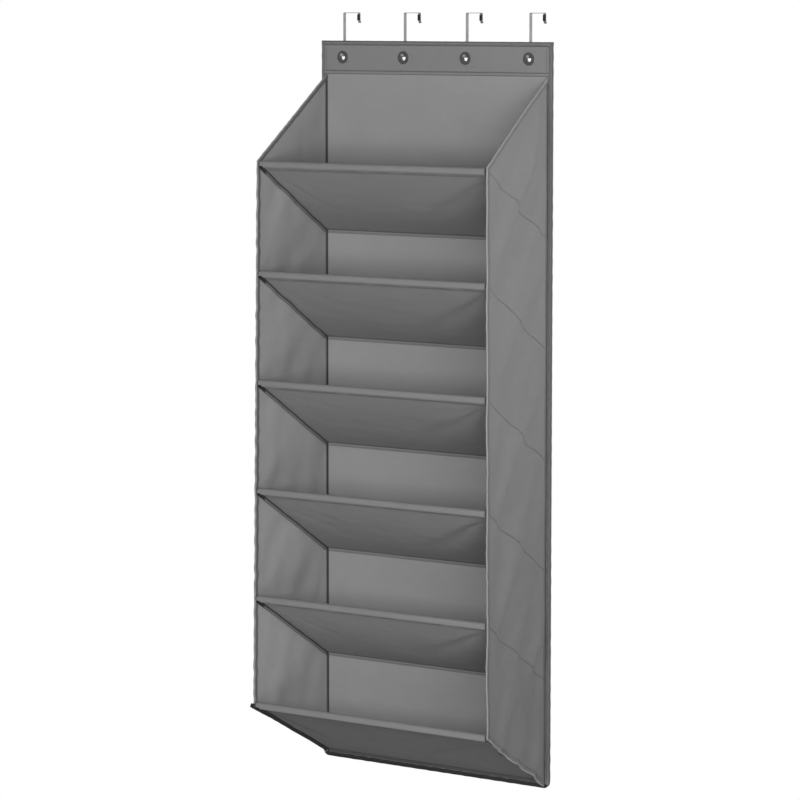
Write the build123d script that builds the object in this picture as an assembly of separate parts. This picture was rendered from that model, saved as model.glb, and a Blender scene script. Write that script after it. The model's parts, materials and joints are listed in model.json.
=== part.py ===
from build123d import *
import math
import os

# Over-the-door hanging shoe organizer: a stiff header on four strip hooks, a back panel,
# two side panels and six sloping cloth shelves with rods in their front hems.
# Millimetres. +Z is up, +X is to the right seen from the front, and the front faces -Y.
# The origin is the middle of the door's front top edge: the hooks rest on z = 0 and
# their shanks lie against y = 0.

# Driving dimensions
width = 560.0  # across the bound back panel
depth = 232.0  # rear face of the cloth to the front edges
height = 1472.0  # top edge to bottom edge of the back panel
hang_drop = 55.0  # door top to the organizer's top edge
header_height = 67.0
first_hem_drop = 235.0  # top edge to the top of the first shelf's front hem
shelf_count = 6
shelf_pitch = 218.0
shelf_rise = 147.0  # back seam to the top of the front hem
last_shelf_rise = 130.0  # the lowest shelf slopes less
side_inset = 11.0  # edge of the back panel to the outer face of a side panel
hook_spacing = 150.0
hook_count = 4
door_gap = 48.0  # between a hook's shank and its lip
grommet_drop = 33.0  # top edge to the grommet centres

# Cloth, board and bindings
cloth = 2.0
rear_gap = 2.7  # door face to the rear face of the back panel
binding_skin = 0.8
binding_width = 8.0
facing_cloth = 1.0
board_thickness = 2.0
header_side_gap = 8.0  # edge of the back panel to the header panel, clear of the binding
board_margin = 5.0
corner_drop = 1.5  # header's lower edge to the side panels' top corners
side_below_shelf = 3.5  # the side panels' lower edges below the lowest shelf's mid-plane
fold_clearance = 1.3  # back panel to the rounded rear end of a shelf

# Shelves
hem_radius = 7.0
rod_radius = 3.0
rod_play = 0.1
rod_end_gap = 2.0
shelf_side_gap = 0.6  # to the inner skin of the side bindings
tape_depth = 8.0  # seam tapes hang down from the underside, square to the sheet
tape_thickness = 0.8
tape_end_gap = 9.0

# Grommets
eyelet_radius = 6.0
barrel_wall = 0.8
flange_radius = 13.0
flange_thickness = 0.9
flange_round = 0.4
washer_radius = 12.0
washer_thickness = 0.8
barrel_play = 0.1

# Hooks
strip_width = 6.0
strip_thickness = 1.5
leg_above_centre = 2.15  # mid-plane of the leg above the grommet's centre
tip_reach = 11.25  # mid-plane of the turned-up tip in front of the door face
tip_height = 5.0
tip_bend = 1.6
shank_bend = 1.8
top_bend = 2.4
lip_drop = 14.0
flare_drop = 5.5
flare_reach = 2.5
flare_bend = 4.0
pad_thickness = 2.5
pad_top = 2.6  # door top to the pad's upper end
pad_height = 12.0

# Derived places
top_z = -hang_drop
bottom_z = top_z - height
header_z = top_z - header_height
back_y = -rear_gap
inner_y = back_y - cloth
front_y = back_y - depth
side_x = width / 2 - side_inset
shelf_half = side_x - cloth - binding_skin - shelf_side_gap
hinge_y = inner_y - fold_clearance - cloth / 2
rod_y = front_y + hem_radius
grommet_z = top_z - grommet_drop


def block(x_range, y_range, z_range):
    """Box between two values on each axis."""
    spans = (x_range, y_range, z_range)
    middle = Pos(*(sum(span) / 2 for span in spans))
    return middle * Box(*(max(span) - min(span) for span in spans))


def plate_yz(points, x_low, thickness):
    """Flat plate with an outline in (y, z), from x_low towards +X."""
    outline = make_face(Polyline(*points, close=True))
    return extrude(Plane.YZ.offset(x_low) * outline, thickness)


def plate_xz(points, y_rear, thickness):
    """Flat plate with an outline in (x, z), from y_rear towards the front."""
    outline = make_face(Polyline(*points, close=True))
    return extrude(Plane.XZ.offset(-y_rear) * outline, thickness)


def outward(start, end):
    """Unit normal of an edge, out of an anticlockwise outline."""
    run, rise = end[0] - start[0], end[1] - start[1]
    length = math.hypot(run, rise)
    return rise / length, -run / length


def offset_corners(outline, distances):
    """Corners of an anticlockwise outline after each edge has moved outward by its distance."""
    corners = []
    for i, (u, v) in enumerate(outline):
        before, after = outline[i - 1], outline[(i + 1) % len(outline)]
        first, second = outward(before, (u, v)), outward((u, v), after)
        near, far = distances[i - 1], distances[i]
        cosine = first[0] * second[0] + first[1] * second[1]
        first_share = (near - far * cosine) / (1 - cosine**2)
        second_share = (far - near * cosine) / (1 - cosine**2)
        corners.append(
            (
                u + first[0] * first_share + second[0] * second_share,
                v + first[1] * first_share + second[1] * second_share,
            )
        )
    return corners


def mitred_strips(outline, bound):
    """One four-cornered strip along each edge of an outline that is bound, mitred at the corners."""
    outer = offset_corners(outline, [binding_skin if edge else 0 for edge in bound])
    inner = offset_corners(outline, [binding_skin - binding_width if edge else 0 for edge in bound])
    strips = []
    for i, edge in enumerate(bound):
        j = (i + 1) % len(outline)
        if edge:
            strips.append([outer[i], outer[j], inner[j], inner[i]])
    return strips


def shelf_rises():
    """Rise of each shelf from its back seam to the top of its hem."""
    return [shelf_rise] * (shelf_count - 1) + [last_shelf_rise]


def shelf_seam_z(number):
    """Height of a shelf's back seam, where it hinges."""
    hem_top = top_z - first_hem_drop - number * shelf_pitch
    return hem_top - shelf_rises()[number]


def shelf_line(number):
    """Hinge point, rod centre, length and slope in degrees of a shelf's mid-plane, in (y, z)."""
    seam_z = shelf_seam_z(number)
    rod_z = seam_z + shelf_rises()[number] - hem_radius
    run, climb = rod_y - hinge_y, rod_z - seam_z
    return (hinge_y, seam_z), (rod_y, rod_z), math.hypot(run, climb), math.degrees(math.atan2(climb, run))


def hook_places():
    """Positions of the hooks and grommets across the width."""
    return [hook_spacing * (i - (hook_count - 1) / 2) for i in range(hook_count)]


def rectangle_outline(half_width, low_z, high_z):
    """Anticlockwise rectangle in (x, z)."""
    return [(half_width, high_z), (-half_width, high_z), (-half_width, low_z), (half_width, low_z)]


def grommet_holes(y_range):
    """Cylinders that clear the four grommet barrels through the header's layers."""
    radius = eyelet_radius + barrel_wall + barrel_play
    length = max(y_range) - min(y_range)
    drill = Rot(X=90) * Cylinder(radius, length)
    return [Pos(x, sum(y_range) / 2, grommet_z) * drill for x in hook_places()]


def back_panel_parts():
    """Back panel and the four bindings round its edges."""
    half, low, high = width / 2 - binding_skin, bottom_z + binding_skin, top_z - binding_skin
    outline = rectangle_outline(half, low, high)
    panel = plate_xz(outline, back_y, cloth) - grommet_holes((back_y + cloth, inner_y - cloth))
    parts = {"back_panel": panel}
    names = ("top", "left", "bottom", "right")
    for name, strip in zip(names, mitred_strips(outline, [True] * len(outline))):
        wrap = plate_xz(strip, back_y + binding_skin, cloth + 2 * binding_skin)
        channel = plate_xz(outline, back_y, cloth)
        parts[f"back_binding_{name}"] = wrap - channel
    return parts


def header_parts():
    """Cloth facing of the header and the board that it holds against the back panel."""
    half = width / 2 - header_side_gap
    high = top_z - binding_width
    board_y = inner_y - board_thickness
    facing_y = board_y - facing_cloth
    board = block(
        (-half + board_margin, half - board_margin),
        (board_y, inner_y),
        (header_z + board_margin, high - board_margin),
    )
    facing = block((-half, half), (facing_y, inner_y), (header_z, high)) - board
    holes = grommet_holes((facing_y - cloth, inner_y + cloth))
    return {"header_panel": facing - holes, "header_board": board - holes}


def grommet_parts():
    """Grommet fronts with their barrels, and the washers that they are closed over."""
    face_y = inner_y - board_thickness - facing_cloth
    flange = Pos((eyelet_radius + flange_radius) / 2, face_y - flange_thickness / 2)
    flange *= Rectangle(flange_radius - eyelet_radius, flange_thickness)
    flange = fillet(flange.vertices().group_by(Axis.Y)[0], flange_round)
    barrel_rear = back_y + washer_thickness
    barrel = Pos(eyelet_radius + barrel_wall / 2, (barrel_rear + face_y) / 2)
    barrel *= Rectangle(barrel_wall, barrel_rear - face_y)
    washer_inner = eyelet_radius + barrel_wall + barrel_play
    washer = Pos((washer_inner + washer_radius) / 2, back_y + washer_thickness / 2)
    washer *= Rectangle(washer_radius - washer_inner, washer_thickness)
    washer = fillet(washer.vertices().group_by(Axis.Y)[-1], flange_round)
    front = revolve(flange + barrel, Axis.Y)
    rear = revolve(washer, Axis.Y)
    parts = {}
    for number, x in enumerate(hook_places(), start=1):
        parts[f"grommet_front_{number}"] = Pos(x, 0, grommet_z) * front
        parts[f"grommet_washer_{number}"] = Pos(x, 0, grommet_z) * rear
    return parts


def side_outline():
    """Side panel in (y, z), anticlockwise from its top rear corner."""
    (pivot_y, seam_z), _, _, slope = shelf_line(shelf_count - 1)
    steepness = math.tan(math.radians(180 - slope))
    sunk = side_below_shelf / math.cos(math.radians(180 - slope))
    edge_y = front_y + binding_skin

    def lower_edge(y):
        return seam_z + (pivot_y - y) * steepness - sunk

    return [
        (inner_y, header_z - corner_drop),
        (edge_y, top_z - first_hem_drop),
        (edge_y, lower_edge(edge_y)),
        (inner_y, lower_edge(inner_y)),
    ]


def side_parts():
    """Side panels and the bindings on their sloped top, front and sloped bottom edges."""
    outline = side_outline()
    strips = mitred_strips(outline, [True, True, True, False])
    parts = {}
    for side, x_low in (("left", -side_x), ("right", side_x - cloth)):
        panel = plate_yz(outline, x_low, cloth)
        parts[f"{side}_side_panel"] = panel
        for name, strip in zip(("top", "front", "bottom"), strips):
            wrap = plate_yz(strip, x_low - binding_skin, cloth + 2 * binding_skin)
            parts[f"{side}_{name}_binding"] = wrap - panel
    return parts


def shelf_parts(number):
    """Cloth shelf with its rod sleeve, the rod, and the tapes under its side edges."""
    hinge, rod, length, slope = shelf_line(number)
    along = Pos(*hinge) * Rot(Z=slope)
    sheet = along * Pos(length / 2, 0) * Rectangle(length, cloth)
    profile = sheet + Pos(*hinge) * Circle(cloth / 2) + Pos(*rod) * Circle(hem_radius)
    profile -= Pos(*rod) * Circle(rod_radius + rod_play)
    panel = extrude(Plane.YZ.offset(-shelf_half) * profile, 2 * shelf_half)
    rod_half = shelf_half - rod_end_gap
    bar = extrude(Plane.YZ.offset(-rod_half) * Pos(*rod) * Circle(rod_radius), 2 * rod_half)
    tape_middle = (cloth + tape_depth) / 2
    tape_face = along * Pos(length / 2, tape_middle) * Rectangle(length - 2 * tape_end_gap, tape_depth)
    left = extrude(Plane.YZ.offset(-shelf_half) * tape_face, tape_thickness)
    right = extrude(Plane.YZ.offset(shelf_half - tape_thickness) * tape_face, tape_thickness)
    label = number + 1
    return {
        f"shelf_panel_{label}": panel,
        f"shelf_rod_{label}": bar,
        f"shelf_seam_tape_{label}": Compound(children=[left, right]),
    }


def hook_parts():
    """Strip hooks bent from flat steel, and the foam pads on their lips."""
    half = strip_thickness / 2
    leg_z = grommet_z + leg_above_centre
    lip_y = door_gap + half
    route = [
        (-tip_reach, leg_z + tip_height),
        (-tip_reach, leg_z),
        (-half, leg_z),
        (-half, half),
        (lip_y, half),
        (lip_y, -lip_drop),
        (lip_y + flare_reach, -lip_drop - flare_drop),
    ]
    bends = [tip_bend, shank_bend, top_bend, top_bend, flare_bend]
    strip = trace(FilletPolyline(*route, radius=bends), strip_thickness)
    bent = extrude(Plane.YZ.offset(-strip_width / 2) * strip, strip_width)
    pad = block(
        (-strip_width / 2, strip_width / 2),
        (door_gap - pad_thickness, door_gap),
        (-pad_top - pad_height, -pad_top),
    )
    parts = {}
    for number, x in enumerate(hook_places(), start=1):
        parts[f"door_hook_{number}"] = Pos(x, 0, 0) * bent
        parts[f"hook_pad_{number}"] = Pos(x, 0, 0) * pad
    return parts


nodes = {**back_panel_parts(), **header_parts(), **grommet_parts(), **side_parts(), **hook_parts()}
for shelf_number in range(shelf_count):
    nodes.update(shelf_parts(shelf_number))

os.makedirs("parts", exist_ok=True)
for node_name, shape in nodes.items():
    export_step(shape, f"parts/{node_name}.step")
    print(node_name)
for shelf_number in range(shelf_count):
    print("shelf", shelf_number + 1, shelf_line(shelf_number))
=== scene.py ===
import json
import math

import bmesh
import bpy
import numpy as np
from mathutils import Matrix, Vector

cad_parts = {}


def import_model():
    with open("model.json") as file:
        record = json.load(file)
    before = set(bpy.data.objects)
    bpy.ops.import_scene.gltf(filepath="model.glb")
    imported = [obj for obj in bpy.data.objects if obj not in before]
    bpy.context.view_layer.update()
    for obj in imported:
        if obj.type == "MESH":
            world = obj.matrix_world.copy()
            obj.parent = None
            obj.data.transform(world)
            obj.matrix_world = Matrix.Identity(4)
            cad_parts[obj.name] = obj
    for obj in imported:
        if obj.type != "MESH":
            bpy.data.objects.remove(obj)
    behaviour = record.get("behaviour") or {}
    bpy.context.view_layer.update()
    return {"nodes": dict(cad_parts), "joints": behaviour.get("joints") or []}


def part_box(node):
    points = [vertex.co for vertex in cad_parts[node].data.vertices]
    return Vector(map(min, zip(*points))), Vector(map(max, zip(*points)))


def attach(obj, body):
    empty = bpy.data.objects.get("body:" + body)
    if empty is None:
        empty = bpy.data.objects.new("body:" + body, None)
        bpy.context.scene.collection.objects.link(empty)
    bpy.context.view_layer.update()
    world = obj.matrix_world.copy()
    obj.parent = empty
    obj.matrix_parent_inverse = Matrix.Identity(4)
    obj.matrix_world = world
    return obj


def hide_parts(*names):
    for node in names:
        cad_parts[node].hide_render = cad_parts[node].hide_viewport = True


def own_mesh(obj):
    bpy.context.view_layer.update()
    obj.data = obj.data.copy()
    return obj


# Over-the-door shoe organizer: grey cloth panels, sloping shelves and folded edge tapes built
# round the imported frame. Metres, +Z up, the front faces -Y, the door's top front edge is the origin.

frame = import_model()
print("frame loaded:", len(frame["nodes"]), "nodes")

# Places read from the frame
backLow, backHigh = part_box("back_panel")
sideLow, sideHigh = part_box("right_side_panel")
headLow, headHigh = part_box("header_panel")
innerY, frontY = sideHigh.y, sideLow.y
sideX = (sideLow.x + sideHigh.x) / 2  # mid-plane of a side panel
sideDepth = innerY - frontY
topRearZ = sideHigh.z
joints = {joint["name"]: joint for joint in frame["joints"]}
hinges = [Vector(joints[f"shelf_fold_{n}"]["pos_m"]) for n in range(1, 7)]
rodBoxes = [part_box(f"shelf_rod_{n}") for n in range(1, 7)]
rods = [(low + high) / 2 for low, high in rodBoxes]
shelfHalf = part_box("shelf_panel_1")[1].x
grommets = [sum(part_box(f"grommet_front_{n}"), Vector()) / 2 for n in range(1, 5)]
slopes = [math.atan2(rod.z - hinge.z, hinge.y - rod.y) for hinge, rod in zip(hinges, rods)]
topFrontZ = rods[0].z + 0.007


def smoothStep(value, low, high):
    # 0 below low, 1 above high, and the cubic 3t^2 - 2t^3 between
    share = np.clip((value - low) / (high - low), 0, 1)
    return share * share * (3 - 2 * share)


def bell(value, centre, width):
    # exp of minus the squared distance in widths
    return np.exp(-(((value - centre) / width) ** 2))


def folds(across, along, seed, waves=7, shortest=0.05, longest=0.25, lean=0.0, spread=1.2):
    # a sum of sine waves with seeded lengths, phases and directions round lean, about -1 to 1
    rng = np.random.default_rng(seed)
    lengths = rng.uniform(shortest, longest, waves)
    turns = lean + spread * (rng.random(waves) - 0.5)
    phases = rng.uniform(0, 2 * math.pi, waves)
    total = 0.0
    for size, turn, phase in zip(lengths, turns, phases):
        distance = across * math.cos(turn) + along * math.sin(turn)
        total = total + np.sin(2 * math.pi * distance / size + phase)
    return total / (1.3 * math.sqrt(waves))


def unevenSteps(low, high, step, places=(), fine=0.0007, grow=1.45):
    # positions from low to high about one step apart, closing up to fine beside each place
    offsets = [0.0]
    gap = fine
    while offsets[-1] < 1.2 * step:
        offsets.append(offsets[-1] + gap)
        gap = min(gap * grow, step)
    reach = offsets[-1] + 0.5 * step
    coarse = np.linspace(low, high, max(2, int(round((high - low) / step)) + 1))
    places = np.array(list(places), float)
    if len(places):
        coarse = coarse[np.min(np.abs(coarse[:, None] - places[None, :]), axis=1) > reach]
    beside = [[place + side * o for o in offsets for side in (-1, 1)] for place in places]
    near = np.concatenate([[low, high]] + beside)
    near = near[(near >= low) & (near <= high)]
    both = np.unique(np.concatenate([coarse, near]))
    kept = [both[0]]
    for value in both[1:]:
        if value - kept[-1] > 0.55 * fine:
            kept.append(value)
    kept[-1] = high
    return np.array(kept)


def runLength(points):
    # distance along a polyline at each of its points
    return np.concatenate([[0], np.cumsum(np.linalg.norm(np.diff(points, axis=0), axis=1))])


def gridSurface(name, points, flat, materials, closed=False, caps=False, keep=None, facing=None, marks=None):
    # quads between neighbouring rows and columns of points; a closed grid joins its last column
    # to its first, caps close its first and last row, flat is the cloth laid out in metres
    rows, cols = points.shape[:2]
    i, j = np.meshgrid(np.arange(rows - 1), np.arange(cols if closed else cols - 1), indexing="ij")
    i, j = i.ravel(), j.ravel()
    turn = ((0, 0), (0, 1), (1, 1), (1, 0))
    faces = np.stack([(i + a) * cols + (j + b) % cols for a, b in turn], axis=1)
    corners = np.stack([(i + a) * flat.shape[1] + (j + b) for a, b in turn], axis=1)
    if keep is not None:
        used = keep[i, j]
        faces, corners = faces[used], corners[used]
    verts = points.reshape(-1, 3)
    a, b, c, d = (verts[faces[:, k]] for k in range(4))
    areas = np.cross(c - a, d - b)
    if facing is None:
        flip = np.einsum("ij,ij->", (a + b + c + d) / 4 - verts.mean(axis=0), areas) < 0
    else:
        flip = (areas.sum(axis=0) @ np.array(facing, float)) < 0
    loopFlat = flat.reshape(-1, 2)[corners]
    if flip:
        faces, loopFlat = faces[:, ::-1], loopFlat[:, ::-1]
    polygons, uvs = faces.tolist(), loopFlat.reshape(-1, 2)
    if caps:
        ends = [np.arange(cols)[::-1], (rows - 1) * cols + np.arange(cols)]
        if flip:
            ends = [end[::-1] for end in ends]
        polygons += [end.tolist() for end in ends]
        uvs = np.concatenate([uvs, np.repeat(flat.reshape(-1, 2)[:1], 2 * cols, axis=0)])
    mesh = bpy.data.meshes.new(name)
    mesh.from_pydata(verts, [], polygons)
    layer = mesh.uv_layers.new(name="clothFlat")
    layer.data.foreach_set("uv", uvs.astype(np.float32).ravel())
    for label, values in (marks or {}).items():
        mark = mesh.attributes.new(label, "FLOAT", "POINT")
        mark.data.foreach_set("value", np.broadcast_to(values, points.shape[:2]).astype(np.float32).ravel())
    return putObject(name, mesh, materials)


def putObject(name, mesh, materials):
    # links a mesh, smooth shaded and without loose points
    mesh.polygons.foreach_set("use_smooth", np.ones(len(mesh.polygons), bool))
    for material in materials:
        mesh.materials.append(material)
    dropLoosePoints(mesh)
    mesh.update()
    piece = bpy.data.objects.new(name, mesh)
    bpy.context.scene.collection.objects.link(piece)
    return piece


def dropLoosePoints(mesh):
    used = np.zeros(len(mesh.loops), np.int32)
    mesh.loops.foreach_get("vertex_index", used)
    if len(np.unique(used)) == len(mesh.vertices):
        return
    work = bmesh.new()
    work.from_mesh(mesh)
    bmesh.ops.delete(work, geom=[v for v in work.verts if not v.link_faces], context="VERTS")
    work.to_mesh(mesh)
    work.free()


def thicken(piece, thickness, offset=0.0, inside=0):
    # gives a sheet its cloth thickness; inside is the step to the other face's material, a copy of the same
    # cloth painted with light on the side panels' inner face and with shade under the lowest shelf
    solid = piece.modifiers.new("clothThickness", "SOLIDIFY")
    solid.thickness = thickness
    solid.offset = offset
    solid.use_even_offset = False
    solid.material_offset = inside
    solid.material_offset_rim = inside


def place(piece, body, slotName, replaced=(), squashKeep=None):
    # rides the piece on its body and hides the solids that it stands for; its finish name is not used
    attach(piece, body)
    if replaced:
        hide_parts(*replaced)
    if squashKeep is not None:
        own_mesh(piece)
    return piece


hangSet = {"leftTop": 0.000, "leftBottom": 0.0165, "rightTop": 0.0125, "rightBottom": 0.0170,
           "leftWrinkle": 0.0014, "rightWrinkle": 0.0088, "cornerRound": 0.014}


def sideWrinkle(depth, z, seed):
    # broad folds that lean forward as they fall, dying out at the back seam
    broad = folds(depth, z, seed, waves=7, shortest=0.06, longest=0.17, lean=0.42, spread=0.7)
    small = folds(depth, z, seed + 5, waves=6, shortest=0.02, longest=0.05, lean=0.4, spread=2.4)
    held = smoothStep(depth, 0.0, 0.04) * (1 - 0.88 * smoothStep(depth, sideDepth - 0.06, sideDepth - 0.008))
    below = topRearZ + (topFrontZ - topRearZ) * depth / sideDepth - z
    held = held * (0.12 + 0.88 * smoothStep(below, 0.01, 0.08))
    return (broad + 0.12 * small) * held


def hang(points):
    # the side panels and all that is sewn to them lean outward towards the front and the bottom,
    # with soft folds; the move dies out towards the middle and the back
    x, y, z = points[..., 0], points[..., 1], points[..., 2]
    depth = innerY - y
    front = np.clip(depth / sideDepth, 0, 1.06) ** 1.3
    down = np.clip((topFrontZ - z) / (topFrontZ - backLow.z), -0.3, 1.02)
    left = hangSet["leftTop"] + (hangSet["leftBottom"] - hangSet["leftTop"]) * down
    right = hangSet["rightTop"] + (hangSet["rightBottom"] - hangSet["rightTop"]) * down
    wave = np.where(x < 0, sideWrinkle(depth, z, 31) * hangSet["leftWrinkle"],
                    sideWrinkle(depth, z, 44) * hangSet["rightWrinkle"])
    lean = np.where(x < 0, left, right) * front + wave
    moved = points.copy()
    moved[..., 0] = x + np.sign(x) * lean * smoothStep(np.abs(x), 0.05, sideX - 0.004)
    return roundCorners(moved)


def roundCorners(points):
    # the back panel's two lower corners, drawn in from a square to a quarter circle
    radius = hangSet["cornerRound"]
    x, z = points[..., 0], points[..., 2]
    u = 1 - (backHigh.x - np.abs(x)) / radius
    v = 1 - (z - backLow.z) / radius
    corner = (u > 0) & (v > 0) & (points[..., 1] > innerY - 0.004)
    u, v = np.clip(u, 0, 1.3), np.clip(v, 0, 1.3)
    roundU, roundV = u * np.sqrt(1 - v * v / 2), v * np.sqrt(1 - u * u / 2)
    moved = points.copy()
    moved[..., 0] = np.where(corner, np.sign(x) * (backHigh.x - radius * (1 - roundU)), x)
    moved[..., 2] = np.where(corner, backLow.z + radius * (1 - roundV), z)
    return moved


def socketGroup(name, inputs, outputs):
    # a node group with named float, colour and vector sockets
    group = bpy.data.node_groups.new(name, "ShaderNodeTree")
    kinds = {"float": "NodeSocketFloat", "color": "NodeSocketColor", "vector": "NodeSocketVector"}
    for label, kind, value in inputs:
        socket = group.interface.new_socket(name=label, in_out="INPUT", socket_type=kinds[kind])
        if value is not None:
            socket.default_value = value
    for label, kind in outputs:
        group.interface.new_socket(name=label, in_out="OUTPUT", socket_type=kinds[kind])
    return group, group.nodes.new("NodeGroupInput"), group.nodes.new("NodeGroupOutput")


def mathNode(tree, operation, first, second=None, clamp=False):
    # one Math node; a number or a socket on each input
    node = tree.nodes.new("ShaderNodeMath")
    node.operation = operation
    node.use_clamp = clamp
    for k, value in enumerate((first, second)):
        if value is None:
            continue
        if isinstance(value, (int, float)):
            node.inputs[k].default_value = value
        else:
            tree.links.new(value, node.inputs[k])
    return node.outputs[0]


def noiseNode(tree, vector, scale, detail=2.0, roughness=0.5, stretch=None):
    # noise texture on a vector, stretched along its axes
    if stretch is not None:
        mapping = tree.nodes.new("ShaderNodeMapping")
        mapping.inputs["Scale"].default_value = stretch
        tree.links.new(vector, mapping.inputs["Vector"])
        vector = mapping.outputs["Vector"]
    noise = tree.nodes.new("ShaderNodeTexNoise")
    noise.inputs["Scale"].default_value = scale
    noise.inputs["Detail"].default_value = detail
    noise.inputs["Roughness"].default_value = roughness
    tree.links.new(vector, noise.inputs["Vector"])
    return noise.outputs["Fac"]


def mixColor(tree, factor, first, second, blend="MIX"):
    # colour mix; numbers, colours or sockets
    node = tree.nodes.new("ShaderNodeMix")
    node.data_type = "RGBA"
    node.blend_type = blend
    for socket, value in ((node.inputs[0], factor), (node.inputs[6], first), (node.inputs[7], second)):
        if isinstance(value, (int, float)):
            socket.default_value = value
        elif isinstance(value, (tuple, list)):
            socket.default_value = value
        else:
            tree.links.new(value, socket)
    return node.outputs[2]


def buildPlainWeave():
    # threads over and under: sine across times sine along, roughened by yarn noise
    group, start, end = socketGroup(
        "plainWeave",
        [("Flat", "vector", None), ("Pitch", "float", 0.0009), ("Slub", "float", 0.35)],
        [("Height", "float"), ("Gap", "float")],
    )
    parts = group.nodes.new("ShaderNodeSeparateXYZ")
    group.links.new(start.outputs["Flat"], parts.inputs[0])
    turn = mathNode(group, "DIVIDE", 2 * math.pi, start.outputs["Pitch"])
    across = mathNode(group, "SINE", mathNode(group, "MULTIPLY", parts.outputs[0], turn))
    along = mathNode(group, "SINE", mathNode(group, "MULTIPLY", parts.outputs[1], turn))
    checker = mathNode(group, "MULTIPLY", across, along)
    yarn = noiseNode(group, start.outputs["Flat"], 420.0, 2.0, 0.6, (1.0, 0.12, 1.0))
    weft = noiseNode(group, start.outputs["Flat"], 420.0, 2.0, 0.6, (0.12, 1.0, 1.0))
    slub = mathNode(group, "MULTIPLY", mathNode(group, "ADD", yarn, weft), start.outputs["Slub"])
    group.links.new(mathNode(group, "ADD", checker, slub), end.inputs["Height"])
    gap = mathNode(group, "MULTIPLY", mathNode(group, "SUBTRACT", 0.25, checker), 0.8, True)
    group.links.new(gap, end.inputs["Gap"])
    return group


def buildClothTone():
    # base colour with broad mottling and fine weft streaks, and painted shade that darkens it in the seams,
    # joins and grooves marked by the Seam input
    group, start, end = socketGroup(
        "clothTone",
        [("Flat", "vector", None), ("Base", "color", (0.2, 0.2, 0.2, 1)), ("Mottle", "float", 0.1),
         ("Streak", "float", 0.08), ("Seam", "float", 0.0), ("Seam Depth", "float", 0.6),
         ("Gap", "float", 0.0)],
        [("Color", "color"), ("Roughness", "float")],
    )
    flat = start.outputs["Flat"]
    broad = mathNode(group, "SUBTRACT", noiseNode(group, flat, 9.0, 3.0, 0.55), 0.5)
    fine = mathNode(group, "SUBTRACT", noiseNode(group, flat, 60.0, 3.0, 0.6), 0.5)
    streak = mathNode(group, "SUBTRACT", noiseNode(group, flat, 14.0, 3.0, 0.6, (0.5, 18.0, 1.0)), 0.5)
    mottle = mathNode(group, "ADD", broad, mathNode(group, "MULTIPLY", fine, 0.5))
    change = mathNode(group, "MULTIPLY", mottle, start.outputs["Mottle"])
    change = mathNode(group, "ADD", change, mathNode(group, "MULTIPLY", streak, start.outputs["Streak"]))
    bright = mathNode(group, "ADD", 1.0, change)
    bright = mathNode(group, "SUBTRACT", bright, mathNode(group, "MULTIPLY", start.outputs["Gap"], 0.12))
    # painted shade: the Seam input darkens the colour where seams, joins and grooves would lie in shade
    dark = mathNode(group, "MULTIPLY", start.outputs["Seam"], start.outputs["Seam Depth"], True)
    bright = mathNode(group, "MULTIPLY", bright, mathNode(group, "SUBTRACT", 1.0, dark))
    scaled = group.nodes.new("ShaderNodeVectorMath")
    scaled.operation = "SCALE"
    group.links.new(start.outputs["Base"], scaled.inputs[0])
    group.links.new(bright, scaled.inputs["Scale"])
    group.links.new(scaled.outputs[0], end.inputs["Color"])
    rough = mathNode(group, "ADD", 0.86, mathNode(group, "MULTIPLY", fine, 0.12), True)
    group.links.new(rough, end.inputs["Roughness"])
    return group


def buildBrushedGrain():
    # fine scratches along the strip and cloudy wear, as a height and a roughness
    group, start, end = socketGroup(
        "brushedGrain",
        [("Place", "vector", None), ("Roughness", "float", 0.35), ("Wear", "float", 0.15)],
        [("Height", "float"), ("Roughness", "float"), ("Cloud", "float")],
    )
    place = start.outputs["Place"]
    scratch = noiseNode(group, place, 900.0, 2.0, 0.7, (1.0, 1.0, 0.04))
    cloud = noiseNode(group, place, 60.0, 3.0, 0.6)
    group.links.new(scratch, end.inputs["Height"])
    worn = mathNode(group, "MULTIPLY", mathNode(group, "SUBTRACT", cloud, 0.4), start.outputs["Wear"])
    grain = mathNode(group, "MULTIPLY", mathNode(group, "SUBTRACT", scratch, 0.5), 0.2)
    total = mathNode(group, "ADD", start.outputs["Roughness"], mathNode(group, "ADD", worn, grain), True)
    group.links.new(total, end.inputs["Roughness"])
    group.links.new(cloud, end.inputs["Cloud"])
    return group


plainWeave, clothTone, brushedGrain = buildPlainWeave(), buildClothTone(), buildBrushedGrain()


def newMaterial(name):
    # an empty node material with its shader and output
    material = bpy.data.materials.new(name)
    material.use_nodes = True
    tree = material.node_tree
    tree.nodes.clear()
    shader = tree.nodes.new("ShaderNodeBsdfPrincipled")
    output = tree.nodes.new("ShaderNodeOutputMaterial")
    tree.links.new(shader.outputs[0], output.inputs[0])
    return material, tree, shader


def groupNode(tree, group, **values):
    # places a node group; sockets are linked, numbers set
    node = tree.nodes.new("ShaderNodeGroup")
    node.node_tree = group
    for label, value in values.items():
        socket = node.inputs[label.replace("_", " ")]
        if isinstance(value, (int, float, tuple)):
            socket.default_value = value
        else:
            tree.links.new(value, socket)
    return node


def bumpNode(tree, shader, height, distance, strength=1.0):
    # height to the shader's normal
    node = tree.nodes.new("ShaderNodeBump")
    node.inputs["Strength"].default_value = strength
    node.inputs["Distance"].default_value = distance
    tree.links.new(height, node.inputs["Height"])
    tree.links.new(node.outputs[0], shader.inputs["Normal"])


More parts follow.
